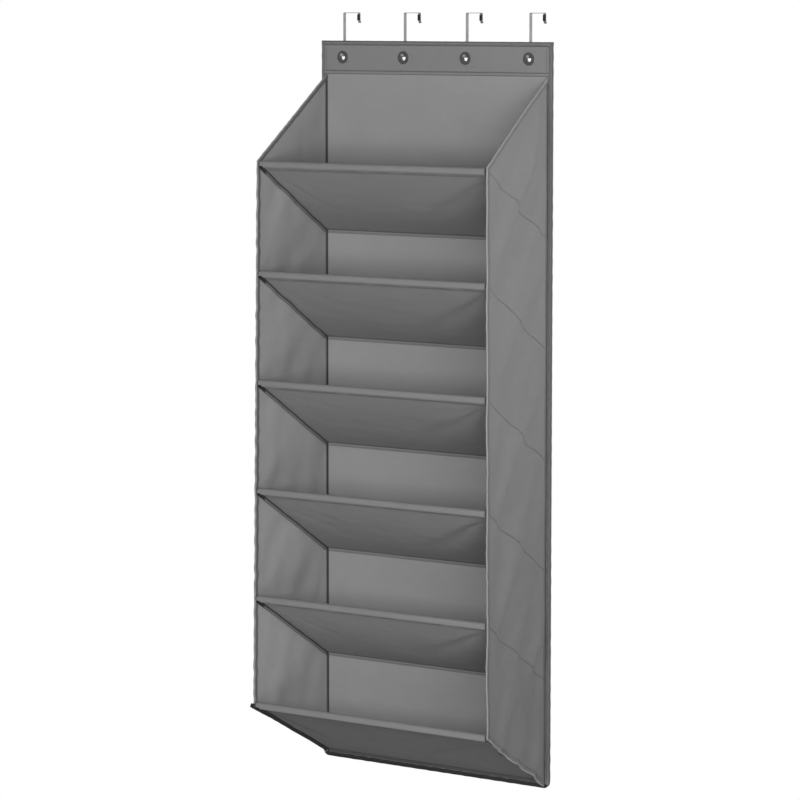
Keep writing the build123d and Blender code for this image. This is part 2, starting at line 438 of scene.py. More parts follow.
def clothMaterial(name, tone, mottle=0.12, streak=0.08, seamShadeDepth=0.6, pitch=0.0009, rib=None, sheen=0.12,
                  openEndShadow=False):
    # woven polyester: weave height and tone from the cloth's own flat layout
    material, tree, shader = newMaterial(name)
    layout = tree.nodes.new("ShaderNodeUVMap")
    layout.uv_map = "clothFlat"
    # the attribute read here is a painted shade mask for the seams, joins and tape edges
    seamShade = tree.nodes.new("ShaderNodeAttribute")
    seamShade.attribute_name = "seamShade"
    flat = layout.outputs[0]
    weave = groupNode(tree, plainWeave, Flat=flat, Pitch=pitch)
    paintedShadeMark = seamShade.outputs["Fac"]
    # the open-end attribute adds a painted black shadow on the shelf tapes
    if openEndShadow:
        dark = tree.nodes.new("ShaderNodeAttribute")
        dark.attribute_name = "openEndShadow"
        paintedShadeMark = mathNode(tree, "MAXIMUM", mathNode(tree, "MULTIPLY", paintedShadeMark, 0.85), dark.outputs["Fac"])
    toned = groupNode(tree, clothTone, Flat=flat, Base=(tone, tone, tone, 1.0), Mottle=mottle, Streak=streak,
                      Seam=paintedShadeMark, Seam_Depth=seamShadeDepth, Gap=weave.outputs["Gap"])
    tree.links.new(toned.outputs["Color"], shader.inputs["Base Color"])
    tree.links.new(toned.outputs["Roughness"], shader.inputs["Roughness"])
    height = weave.outputs["Height"]
    if rib is not None:
        parts = tree.nodes.new("ShaderNodeSeparateXYZ")
        tree.links.new(flat, parts.inputs[0])
        wave = mathNode(tree, "SINE", mathNode(tree, "MULTIPLY", parts.outputs[0], 2 * math.pi / rib))
        softened = mathNode(tree, "MULTIPLY", height, 0.5)
        height = mathNode(tree, "ADD", mathNode(tree, "MULTIPLY", wave, 1.2), softened)
    bumpNode(tree, shader, height, 0.00009 if rib is None else 0.00016)
    shader.inputs["Sheen Weight"].default_value = sheen
    shader.inputs["Sheen Roughness"].default_value = 0.45
    shader.inputs["Specular IOR Level"].default_value = 0.25
    return material


def metalMaterial(name, tone, roughness, metallic=1.0, wear=0.2, place=(1.0, 1.0, 1.0)):
    # plated steel with fine scratches and cloudy wear
    material, tree, shader = newMaterial(name)
    coords = tree.nodes.new("ShaderNodeTexCoord")
    mapping = tree.nodes.new("ShaderNodeMapping")
    mapping.inputs["Scale"].default_value = place
    tree.links.new(coords.outputs["Object"], mapping.inputs["Vector"])
    grain = groupNode(tree, brushedGrain, Place=mapping.outputs[0], Roughness=roughness, Wear=wear)
    dull, bright = (tone * 0.8, tone * 0.8, tone * 0.8, 1), (tone * 1.15, tone * 1.15, tone * 1.16, 1)
    shade = mixColor(tree, grain.outputs["Cloud"], dull, bright)
    tree.links.new(shade, shader.inputs["Base Color"])
    tree.links.new(grain.outputs["Roughness"], shader.inputs["Roughness"])
    shader.inputs["Metallic"].default_value = metallic
    bumpNode(tree, shader, grain.outputs["Height"], 0.00002)
    return material


def foamMaterial(name):
    # closed-cell foam: small round cells
    material, tree, shader = newMaterial(name)
    coords = tree.nodes.new("ShaderNodeTexCoord")
    cells = tree.nodes.new("ShaderNodeTexVoronoi")
    cells.inputs["Scale"].default_value = 1400.0
    tree.links.new(coords.outputs["Object"], cells.inputs["Vector"])
    shade = mixColor(tree, cells.outputs["Distance"], (0.006, 0.006, 0.006, 1), (0.02, 0.02, 0.02, 1))
    tree.links.new(shade, shader.inputs["Base Color"])
    rough = mathNode(tree, "ADD", 0.8, mathNode(tree, "MULTIPLY", cells.outputs["Distance"], 0.2), True)
    tree.links.new(rough, shader.inputs["Roughness"])
    bumpNode(tree, shader, cells.outputs["Distance"], 0.0002)
    return material


def boardMaterial(name):
    # plain stiff board with a faint calendered grain
    material, tree, shader = newMaterial(name)
    coords = tree.nodes.new("ShaderNodeTexCoord")
    grain = noiseNode(tree, coords.outputs["Object"], 300.0, 3.0, 0.6, (0.2, 1.0, 1.0))
    shade = mixColor(tree, grain, (0.40, 0.40, 0.38, 1), (0.48, 0.48, 0.46, 1))
    tree.links.new(shade, shader.inputs["Base Color"])
    rough = mathNode(tree, "ADD", 0.5, mathNode(tree, "MULTIPLY", grain, 0.2))
    tree.links.new(rough, shader.inputs["Roughness"])
    bumpNode(tree, shader, grain, 0.00005)
    return material


# inner and outer are one cloth, painted lighter inside the side panels and darker outside them for how the
# light falls
tones = {"front": 0.345, "header": 0.26, "inner": 0.385, "outer": 0.185, "shelf": 0.245, "under": 0.079,
         "tape": 0.25, "edge": 0.33, "darkEdge": 0.022, "thread": 0.10}
panelCloth = clothMaterial("panelCloth", tones["front"], seamShadeDepth=0.85)
headerCloth = clothMaterial("headerCloth", tones["header"])
# the side panels' inner face takes a lighter copy and the outer face a darker copy of one cloth: painted
# light inside, painted shade outside
sideInnerLitCloth = clothMaterial("sideInnerLitCloth", tones["inner"], seamShadeDepth=0.85)
sideOuterShadedCloth = clothMaterial("sideOuterShadedCloth", tones["outer"])
shelfCloth = clothMaterial("shelfCloth", tones["shelf"], streak=0.14, seamShadeDepth=0.85)
# a much darker copy of the shelf cloth: painted shade on the lowest shelf's underside
shadedUnderCloth = clothMaterial("shadedUnderCloth", tones["under"], streak=0.14, seamShadeDepth=0.85)
seamTape = clothMaterial("seamTape", tones["tape"], rib=0.0014, seamShadeDepth=0.94, openEndShadow=True)
edgeTape = clothMaterial("edgeTape", tones["edge"], rib=0.0014, seamShadeDepth=0.8)
# near-black tape for the bottom edges: painted shade along the bottom of the organizer
bottomShadeTape = clothMaterial("bottomShadeTape", tones["darkEdge"], rib=0.0014)
threadCloth = clothMaterial("stitchThread", tones["thread"], rib=0.0005)
hookSteel = metalMaterial("hookSteel", 0.34, 0.50)
grommetSteel = metalMaterial("grommetSteel", 0.10, 0.34)
rodPaint = metalMaterial("rodPaint", 0.03, 0.45, metallic=0.0)
padFoam, headerBoard = foamMaterial("padFoam"), boardMaterial("headerBoard")
print("materials ready:", len(bpy.data.materials))

for label, node in frame["nodes"].items():
    finish = None
    if label.startswith("door_hook"):
        finish = hookSteel
    elif label.startswith("grommet"):
        finish = grommetSteel
    elif label.startswith("shelf_rod"):
        finish = rodPaint
    elif label == "header_board":
        finish = headerBoard
    if finish is not None:
        node.data.materials.clear()
        node.data.materials.append(finish)


backSet = {"cloth": 0.0018, "step": 0.0095, "bulge": 0.0018, "hole": 0.0086}


def holeFaces(xs, zs, radius):
    # true where a quad's middle is outside every grommet's hole
    x, z = (xs[1:] + xs[:-1]) / 2, (zs[1:] + zs[:-1]) / 2
    keep = np.ones((len(z), len(x)), bool)
    for centre in grommets:
        keep &= (x[None, :] - centre.x) ** 2 + (z[:, None] - centre.z) ** 2 > radius**2
    return keep


def grommetPlaces(values, reach=0.012, step=0.0015):
    # fine steps either side of each value, for round holes
    return [value + k * step for value in values for k in range(-int(reach / step), int(reach / step) + 1)]


def spaced(values, places, least, reach=0.012):
    # values joined by the fine steps round each place, leaving out any closer than least
    joined = np.unique(np.round(np.concatenate([values, grommetPlaces(places, reach)]), 5))
    return joined[np.concatenate([[True], np.diff(joined) > least])]


def backPanel():
    # a flat sheet whose middle swells forward between the shelves, pinched at the shelf and side seams
    xs = unevenSteps(backLow.x, backHigh.x, backSet["step"], [-sideX, sideX, 0.0025 - sideX, sideX - 0.0025])
    zs = unevenSteps(backLow.z, backHigh.z, backSet["step"], [hinge.z for hinge in hinges] + [headLow.z])
    xs = spaced(xs, [g.x for g in grommets], 0.0004)
    zs = spaced(zs, [grommets[0].z], 0.0004)
    x, z = np.meshgrid(xs, zs)
    seams = np.array([hinge.z for hinge in hinges])
    near = np.min(np.abs(z[..., None] - seams), axis=-1)
    inside = smoothStep(sideX - np.abs(x), 0.0, 0.06)
    free = smoothStep(near, 0.004, 0.05) * inside * smoothStep(headLow.z - z, 0.0, 0.05)
    swell = 0.55 + 0.45 * folds(x, z, 12, shortest=0.12, longest=0.4)
    y = (backLow.y + backHigh.y) / 2 - backSet["bulge"] * free * np.clip(swell, 0, 2)
    y += 0.0002 * folds(x, z, 13, shortest=0.02, longest=0.06) * inside
    # painted shade: dark lines along the side seams in the back corners and fainter ones under each shelf
    # seam
    gap = np.clip(sideX - np.abs(x) - 0.0022, 0, 1)
    seamShade = np.exp(-((gap / 0.0008) ** 2)) * (z < topRearZ) * (np.abs(x) < sideX + 0.001)
    shelfLines = bell(z[..., None], seams - 0.0008, 0.0012).max(axis=-1) * (np.abs(x) < sideX)
    seamShade = np.maximum(seamShade, 0.35 * shelfLines)
    points = roundCorners(np.stack([x, y, z], axis=-1))
    piece = gridSurface("backPanelCloth", points, np.stack([x, z], axis=-1), [panelCloth],
                        keep=holeFaces(xs, zs, backSet["hole"]), facing=(0, -1, 0), marks={"seamShade": seamShade})
    thicken(piece, backSet["cloth"])
    place(piece, "organizer", "grey_cloth", ["back_panel"])


backPanel()
print("back panel done")


headerSet = {"hem": 0.0068, "groove": 0.0007, "roll": 0.0016, "cloth": 0.0007}


def headerPanel():
    # a plate over the board whose rim rolls back to the panel, with sewn grooves one hem in from
    # its edges and small puckers round the grommets
    half, low, high = headHigh.x, headLow.z, headHigh.z
    hem = headerSet["hem"]
    edges = [-half + 0.0006, -half + 0.0055, half - 0.0055, half - 0.0006]
    xs = unevenSteps(-half, half, 0.008, edges, 0.0005)
    zs = unevenSteps(low, high, 0.006, [low + 0.0006, low + hem, high - 0.0045, high - 0.0006], 0.0005)
    xs = spaced(xs, [g.x for g in grommets], 0.0003, 0.018)
    zs = spaced(zs, [grommets[0].z], 0.0003, 0.018)
    x, z = np.meshgrid(xs, zs)
    rim = np.minimum(np.minimum(x + half, half - x), np.minimum(z - low, high - z))
    drop = 1 - np.sqrt(1 - (1 - np.clip(rim / headerSet["roll"], 0, 1)) ** 2)
    grooves = bell(z, low + hem, 0.0009)
    grooves = np.maximum(grooves, 0.5 * bell(np.minimum(x + half, half - x), 0.0055, 0.0008))
    pucker = 0.0
    for k, centre in enumerate(grommets):
        away = np.hypot(x - centre.x, z - centre.z)
        turn = np.arctan2(z - centre.z, x - centre.x)
        pucker = pucker + bell(away, 0.011, 0.006) * (0.5 + 0.5 * np.sin(7 * turn + k))
    y = headLow.y + drop * (headHigh.y - headLow.y) + headerSet["groove"] * grooves
    soft = folds(x, z, 21, shortest=0.03, longest=0.16) * smoothStep(rim, 0.004, 0.012)
    y -= 0.0002 * pucker + 0.00035 * soft
    # painted shade in the sewn grooves and along the rolled rim
    seamShade = np.clip(grooves, 0, 1) * 0.8 + 0.9 * bell(rim, 0.0, 0.0012)
    points = np.stack([x, y, z], axis=-1)
    piece = gridSurface("headerFacing", points, np.stack([x + 3, z], axis=-1), [headerCloth],
                        keep=holeFaces(xs, zs, backSet["hole"]), facing=(0, -1, 0),
                        marks={"seamShade": np.clip(seamShade, 0, 1)})
    thicken(piece, headerSet["cloth"], -1.0)
    place(piece, "organizer", "grey_cloth", ["header_panel"])


headerPanel()
print("header done")


def tapeProfile(width, pinch, roll, skin=0.0008):
    # U section, inward and outward: free edge, pinched stitch line, round roll, and back
    inward = np.linspace(width, roll - skin, 11)
    stitch = 0.72 * width
    height = pinch + (roll - pinch) * smoothStep(stitch - inward, 0.0, 0.35 * stitch)
    height = height + 0.00035 * smoothStep(inward, stitch, width)
    turn = np.linspace(math.pi / 2, 1.5 * math.pi, 13)[1:-1]
    return (np.concatenate([inward, roll - skin + roll * np.cos(turn), inward[::-1]]),
            np.concatenate([height, roll * np.sin(turn), -height[::-1]]))


def foldedTape(name, path, inward, across, spec, material, seed, wave=0.0002):
    # the U section carried along the edge, with small waves along it
    inset, lift = tapeProfile(spec["width"], spec["pinch"], spec["roll"])
    run = runLength(path)
    longest = 0.035 + 18 * wave
    sway = wave * folds(run, 0 * run, seed, waves=6, shortest=0.4 * longest, longest=longest, spread=0.2)
    swing = wave * folds(run, 0 * run, seed + 1, waves=6, shortest=0.5 * longest, longest=1.3 * longest,
                         spread=0.2)
    centre = path + sway[:, None] * inward + swing[:, None] * across
    inwardPart = inset[None, :, None] * inward[:, None, :]
    points = centre[:, None, :] + inwardPart + lift[None, :, None] * across[:, None, :]
    girth = runLength(np.stack([inset, lift], axis=1))
    flat = np.stack(np.broadcast_arrays(run[:, None] + seed, girth[None, :]), axis=-1)
    # painted shade on the tape: a dark stitch groove, a dark line along the roll, the roll's side turned away
    # from the light and a darker flat part
    stitch = 0.8 * bell(inset, spec["darkLine"] * spec["width"], 0.0006)
    flatPart = smoothStep(inset, 0.0004, 0.0018)
    darkSide = smoothStep(spec["darkSide"] * lift, 0.05 * spec["roll"], 0.65 * spec["roll"]) * (1 - flatPart)
    rollLine = 0.85 * bell(inset, 0.0014, 0.0006)
    darkSide = np.maximum(spec["edgeDark"] * darkSide, spec["rollDark"] * (1 - flatPart))
    paintedShadeMark = np.maximum(np.maximum(spec["flatDark"] * flatPart, stitch), np.maximum(rollLine, darkSide))
    piece = gridSurface(name, hang(points), flat, [material],
                        marks={"seamShade": np.broadcast_to(paintedShadeMark, points.shape[:2])})
    thicken(piece, spec["skin"], -1.0)
    return piece, centre


def straightEdge(start, end, startMitre, endMitre, across, step=0.004):
    # evenly spaced points along an edge, with the inward direction turning from mitre to mitre
    start, end = np.array(start, float), np.array(end, float)
    count = max(8, int(np.linalg.norm(end - start) / step))
    share = np.linspace(0, 1, count)[:, None]
    path = start + (end - start) * share
    inward = np.array(startMitre, float) * (1 - share) + np.array(endMitre, float) * share
    return path, inward, np.repeat(np.array([across], float), count, axis=0)


# the dark amounts here set how much painted shade each part of a tape gets
tapeSet = {"width": 0.008, "pinch": 0.0016, "roll": 0.0021, "skin": 0.0006, "edgeDark": 1.0, "darkSide": 1,
           "rollDark": 0.0, "flatDark": 0.55, "darkLine": 0.72}
stitchRuns = {"back": [], "left": [], "right": [], "header": []}


def addStitchRun(where, path, inward, across, inset, lift):
    # a stitch line on each face of a tape
    for side in (-1, 1):
        stitchRuns[where].append((path + inset * inward + side * lift * across, side * across))


def backTapes():
    # four mitred tapes round the back panel
    low, high = backLow, backHigh
    y = (low.y + high.y) / 2
    corner = {"topLeft": (low.x, y, high.z), "topRight": (high.x, y, high.z),
              "bottomLeft": (low.x, y, low.z), "bottomRight": (high.x, y, low.z)}
    mitre = {"topLeft": (1, 0, -1), "topRight": (-1, 0, -1),
             "bottomLeft": (1, 0, 1), "bottomRight": (-1, 0, 1)}
    edges = {"top": ("topLeft", "topRight"), "left": ("bottomLeft", "topLeft"),
             "bottom": ("bottomRight", "bottomLeft"), "right": ("topRight", "bottomRight")}
    for k, (label, (first, last)) in enumerate(edges.items()):
        path, inward, across = straightEdge(corner[first], corner[last], mitre[first], mitre[last], (0, 1, 0))
        # the bottom tape is painted near black for the shade along the bottom edge
        material = bottomShadeTape if label == "bottom" else edgeTape
        spec, wave = dict(tapeSet), 0.00025
        # more painted shade along the back tapes' roll and flat part
        spec.update(rollDark=0.8, flatDark=0.32, darkLine=0.95)
        if label == "top":
            spec.update(pinch=0.0013, roll=0.0017)
            wave = 0.00008
        piece, line = foldedTape(f"backTape_{label}", path, inward, across, spec, material, 60 + 3 * k, wave)
        place(piece, "organizer", "binding_tape", [f"back_binding_{label}"])
        addStitchRun("back", line, inward, across, 0.72 * spec["width"], spec["pinch"] + 0.0003)


backTapes()
print("back tapes done")


sideSet = {"cloth": 0.0016, "groove": 0.0007, "keep": 0.16}
tanSlopes = [math.tan(slope) for slope in slopes]
rearBottomZ = sideLow.z
frontBottomZ = rearBottomZ + sideDepth * tanSlopes[-1]
# how far a side panel's lower front corner hangs below the lowest shelf's line, left and right
frontDrop = {-1: 0.006, 1: 0.001}


def sewnLine(number, y):
    # height of a shelf's mid-plane where it is sewn to a side panel
    return hinges[number].z + (hinges[number].y - y) * tanSlopes[number]


def sidePanel(side, label, seed):
    # rows run from the sloped top edge through the sewn shelf lines to the sloped bottom edge
    levels = [(topRearZ, topFrontZ)] + [(sewnLine(n, innerY), sewnLine(n, frontY)) for n in range(6)]
    levels.append((rearBottomZ, frontBottomZ - frontDrop[side]))
    rear, front, gap = [], [], []
    for k, (above, below) in enumerate(zip(levels[:-1], levels[1:])):
        tall = max(above[0] - below[0], 0.004)
        places = ([0.0] if k > 0 else []) + ([tall] if k < 6 else [])
        part = unevenSteps(0, tall, 0.0065, places, 0.0006) / tall
        part = part if k == 0 else part[1:]
        rear.append(above[0] + (below[0] - above[0]) * part)
        front.append(above[1] + (below[1] - above[1]) * part)
    rear, front = np.concatenate(rear), np.concatenate(front)
    depths = unevenSteps(0, sideDepth, 0.006, [0.0, 0.0065], 0.0006)
    share = depths / sideDepth
    depth = np.broadcast_to(depths, (len(rear), len(depths)))
    z = rear[:, None] + (front - rear)[:, None] * share[None, :]
    y = innerY - depth
    lines = np.stack([sewnLine(n, y) for n in range(6)], axis=-1)
    offLine = np.min(np.abs(z[..., None] - lines), axis=-1) * math.cos(slopes[0])
    sewn = smoothStep(depth, 0.004, 0.012) * bell(offLine, 0, 0.0009)
    small = folds(depth, z, seed + 9, waves=5, shortest=0.011, longest=0.026, spread=0.3)
    pucker = np.exp(-offLine / 0.012) * small
    rearLine = bell(depth, 0.0065, 0.0009)
    inward = sideSet["groove"] * (sewn + 0.7 * rearLine) + 0.00022 * pucker * smoothStep(depth, 0.006, 0.03)
    points = hang(np.stack([side * np.full_like(depth, sideX), y, z], axis=-1))
    points[..., 0] -= side * inward
    # painted shade along the sewn shelf lines, the back seam line and the rear edge's corner
    seamShade = np.clip(0.8 * sewn + 0.3 * rearLine + bell(depth, 0.0014, 0.0034), 0, 1)
    flat = np.stack([depth + (0 if side > 0 else 5), z], axis=-1)
    piece = gridSurface(f"{label}SideCloth", points, flat, [sideOuterShadedCloth, sideInnerLitCloth], facing=(side, 0, 0),
                        marks={"seamShade": seamShade})
    thicken(piece, sideSet["cloth"], 0.0, inside=1)
    place(piece, "organizer", "grey_cloth", [f"{label}_side_panel"], sideSet["keep"])
    for n in range(5):
        line = np.linspace(innerY - 0.004, frontY + 0.009, 60)
        path = np.stack([np.full(60, side * sideX), line, sewnLine(n, line)], axis=1)
        outward = np.repeat([[side, 0, 0]], 60, axis=0)
        stitchRuns[label].append((path + np.array([side * 0.0004, 0, 0]), outward))
    tall = np.linspace(topRearZ - 0.008, rearBottomZ + 0.01, 300)
    path = np.stack([np.full(300, side * sideX), np.full(300, innerY - 0.0065), tall], axis=1)
    stitchRuns[label].append((path + np.array([side * 0.0005, 0, 0]), np.repeat([[side, 0, 0]], 300, axis=0)))


sidePanel(-1, "left", 31)
sidePanel(1, "right", 44)
print("side panels done")


def bisector(before, here, after):
    # inward corner direction whose part square to each edge is one, for an anticlockwise outline
    first = (np.array(here) - before) / np.linalg.norm(np.array(here) - before)
    second = (np.array(after) - here) / np.linalg.norm(np.array(after) - here)
    a, b = np.array([-first[1], first[0]]), np.array([-second[1], second[0]])
    return (a + b) / (1 + a @ b)


def sideTapes(side, label):
    # tapes on a side panel's sloped top, front and sloped bottom edges
    lowFront = frontBottomZ - frontDrop[side]
    corners = [(innerY, topRearZ), (frontY, topFrontZ), (frontY, lowFront), (innerY, rearBottomZ)]
    names = ("top", "front", "bottom")
    for k, edge in enumerate(names):
        first, last = np.array(corners[k]), np.array(corners[k + 1])
        run = (last - first) / np.linalg.norm(last - first)
        square = np.array([-run[1], run[0]])
        startMitre = square if k == 0 else bisector(corners[k - 1], corners[k], corners[k + 1])
        endMitre = square if k == 2 else bisector(corners[k], corners[k + 1], corners[k + 2])
        spec = dict(tapeSet)
        wave, material = 0.0003, edgeTape
        # painted shade on the side of the roll that faces away from the light, opposite on the two panels
        spec["darkSide"] = 1 if side < 0 else -1
        if edge == "front":
            wave = 0.0007 if side < 0 else 0.0004
        # the left bottom tape is painted near black for the shade along the bottom edge
        if edge == "bottom" and side < 0:
            first, startMitre = first - run * 0.011, square
            material, wave = bottomShadeTape, 0.0003
        if edge == "bottom" and side > 0:
            last, wave, endMitre = last + np.array([0.0, -0.008]), 0.0026, square
        ends = [(side * sideX, *first), (side * sideX, *last)]
        path, inward, across = straightEdge(*ends, (0.0, *startMitre), (0.0, *endMitre), (side, 0, 0), 0.003)
        seed = 80 + 7 * k + (side > 0) * 40
        piece, line = foldedTape(f"{label}Tape_{edge}", path, inward, across, spec, material, seed, wave)
        place(piece, "organizer", "binding_tape", [f"{label}_{edge}_binding"], sideSet["keep"])
        addStitchRun(label, line, inward, across, 0.72 * spec["width"], spec["pinch"] + 0.0003)


sideTapes(-1, "left")
sideTapes(1, "right")
print("side tapes done")


shelfSet = {"cloth": 0.0013, "sleeve": 0.0062, "hem": 0.015, "sag": 0.008, "flange": 0.007, "cutBack": 0.010,
            "ripple": 0.0011, "tapeDepth": 0.0086, "squareness": 0.74, "openEndShadow": 0.026}


def shelfProfile(length, slope):
    # along the slope and square to it: up the sheet, over the rod, round under it and back to the
    # stitch line one hem behind; mark is 0 on the sheet, 1 round the rod, 2 on the return
    radius, hem = shelfSet["sleeve"], shelfSet["hem"]
    sheetRun = np.linspace(0.0, length - hem, 46)
    sheet = np.stack([sheetRun, 0 * sheetRun], axis=1)
    turn = np.linspace(math.radians(-24), math.radians(196), 19)
    power = shelfSet["squareness"]
    forward = radius * np.sign(np.sin(turn)) * np.abs(np.sin(turn)) ** power
    upward = radius * np.sign(np.cos(turn)) * np.abs(np.cos(turn)) ** power
    round_ = np.stack([length + forward * math.cos(slope) + upward * math.sin(slope),
                       -forward * math.sin(slope) + upward * math.cos(slope)], axis=1)
    rise = np.linspace(0, 1, 8)[1:-1][:, None]
    top = sheet[-1] + (round_[0] - sheet[-1]) * np.concatenate([rise, rise * rise * (3 - 2 * rise)], axis=1)
    back = np.linspace(0, 1, 9)[1:][:, None]
    stitched = np.array([length - hem - 0.001, -0.0016])
    bend = np.concatenate([back, back * back * (3 - 2 * back)], axis=1)
    under = round_[-1] + (stitched - round_[-1]) * bend
    tail = np.stack([length - hem - 0.001 - np.linspace(0.0015, 0.004, 3), np.full(3, -0.0015)], axis=1)
    points = np.concatenate([sheet, top, round_, under, tail])
    mark = np.concatenate([np.zeros(len(sheet)), np.linspace(0, 1, len(top)), np.ones(len(round_)),
                           np.linspace(1, 2, len(under)), np.full(3, 2.0)])
    return points, mark


def shelf(number):
    # the profile carried across, sagging between its sewn edges, with a seam allowance down the back
    hinge, rod, slope = hinges[number], rods[number], slopes[number]
    length = math.hypot(hinge.y - rod.y, rod.z - hinge.z)
    profile, mark = shelfProfile(length, slope)
    edges = [-shelfHalf, shelfHalf, -shelfHalf + 0.01, shelfHalf - 0.01]
    xs = unevenSteps(-shelfHalf, shelfHalf, 0.006, edges, 0.0008)
    along, off = profile[:, 0][:, None], profile[:, 1][:, None]
    x = xs[None, :]
    wideX, wideAlong = x + 0 * along, along + 0 * x
    edge = np.clip(1 - np.abs(x) / shelfHalf, 0, 1)
    reach = length - shelfSet["hem"]
    share = np.clip(along / reach, 0, 1)
    slack = (1 - (1 - np.clip(edge * 2.2, 0, 1)) ** 2.4) * np.sin(math.pi * share) ** 0.9
    seed = 200 + 11 * number
    soft = folds(wideX, wideAlong, seed, waves=6, shortest=0.10, longest=0.30)
    sheetPart = (mark == 0)[:, None]
    sag = shelfSet["sag"] * (1 + 0.18 * soft) * slack
    fineWave = 0.00035 * folds(wideX, wideAlong, seed + 1, waves=7, shortest=0.02, longest=0.06, lean=1.2)
    corner = cornerCreases(wideX, wideAlong, length, seed)
    held = np.sin(math.pi * np.clip(share, 0, 1)) ** 0.5
    off = off - np.where(sheetPart, sag, 0) + (fineWave + corner) * held * sheetPart
    hemWave = folds(wideX, 0 * wideX, seed + 2, waves=6, shortest=0.03, longest=0.12, spread=0.2)
    pucker = folds(wideX, 0 * wideX, seed + 3, waves=5, shortest=0.008, longest=0.018, spread=0.2)
    lower = smoothStep(mark, 1.0, 1.5)[:, None] * smoothStep(2.0 - mark, 0.0, 0.3)[:, None]
    ripple = shelfSet["ripple"] * (0.6 + hemWave)
    off = off - ripple * lower - 0.00025 * pucker * bell(mark, 1.7, 0.35)[:, None]
    along = along + 0 * x
    y = hinge.y - along * math.cos(slope) + off * math.sin(slope)
    z = hinge.z + along * math.sin(slope) + off * math.cos(slope)
    sheetPoints = np.stack([x + 0 * along, y, z], axis=-1)
    fall = np.linspace(shelfSet["flange"], 0.0012, 6)
    flangeY = hinge.y + 0.0008 - 0.0002 * np.sin(fall * 400)[:, None]
    flange = np.stack(np.broadcast_arrays(x, flangeY, hinge.z - fall[:, None]), axis=-1)
    points = np.concatenate([flange, sheetPoints])
    mark = np.concatenate([np.full(6, -1.0), mark])
    points = hang(points)
    run = runLength(points[:, points.shape[1] // 2])
    flat = np.stack(np.broadcast_arrays(x + 1.37 * number + 7, run[:, None]), axis=-1)
    # painted shade: dark along the side edges where the sheet meets the tapes, along the back flange and at
    # the hem's stitch line
    side = bell(np.abs(x) + 0 * mark[:, None], shelfHalf, 0.0026)
    row = np.arange(len(mark))
    rear = 0.75 * bell(row, 6, 0.9)[:, None] + 0.2 * bell(row, 0, 0.8)[:, None]
    stitch = 0.3 * bell(mark, 1.95, 0.06)[:, None]
    seamShade = np.clip(np.maximum(np.maximum(side, rear), stitch) + 0 * x, 0, 1)
    middle = (-(xs[1:] + xs[:-1]) / 2)[None, :]
    markMiddle = ((mark[1:] + mark[:-1]) / 2)[:, None]
    order = np.arange(len(mark) - 1)[:, None]
    bottomStart = int(np.argmax(mark == 1.0)) + 12
    keep = ~((middle > shelfHalf - shelfSet["cutBack"]) & (order >= bottomStart))
    # the lowest shelf's underside takes the darker copy, painted shade where little light reaches
    lowest = number == len(hinges) - 1
    cloths = [shelfCloth, shadedUnderCloth] if lowest else [shelfCloth]
    piece = gridSurface(f"shelfCloth_{number + 1}", points, flat, cloths, keep=keep, facing=(0, 0.5, 0.8),
                        marks={"seamShade": seamShade})
    thicken(piece, shelfSet["cloth"], inside=int(lowest))
    place(piece, f"shelf_{number + 1}", "grey_cloth", [f"shelf_panel_{number + 1}"])
    shelfTapes(number, hinge, slope, length)
    hemRow = int(np.argmin(np.abs(mark - 1.95)))
    line = points[hemRow, 14:-14]
    normal = np.repeat([[0, -math.sin(slope), -math.cos(slope)]], len(line), axis=0)
    lineTop = points[6 + 45, 14:-14]
    seamLine = points[2, 4:-4]
    return [(line + normal * 0.0008, normal), (lineTop - normal * 0.0008, -normal),
            (seamLine + np.array([0, -0.0008, 0]), np.repeat([[0, -1, 0]], len(seamLine), axis=0))]


def cornerCreases(x, along, length, seed):
    # tension creases that fan out from the sleeve's ends towards the middle of the back seam, with
    # one long crease at the right-hand end
    total = 0.0
    rng = np.random.default_rng(seed + 7)
    for side in (-1, 1):
        across = shelfHalf - side * x
        ahead = length - 0.02 - along
        angle = np.arctan2(ahead, np.maximum(across, 1e-4))
        away = np.hypot(ahead, across)
        for k in range(3):
            turn, width = rng.uniform(0.35, 1.15), rng.uniform(0.05, 0.09)
            height, reach = 0.0013, 0.22
            if side > 0 and k == 0:
                turn, width, height, reach = rng.uniform(0.55, 0.68), 0.085, 0.0042, 0.36
            fade = smoothStep(away, 0.015, 0.06) * (1 - smoothStep(away, 0.45 * reach, reach))
            total = total + height * bell(angle, turn, width) * fade
    return total


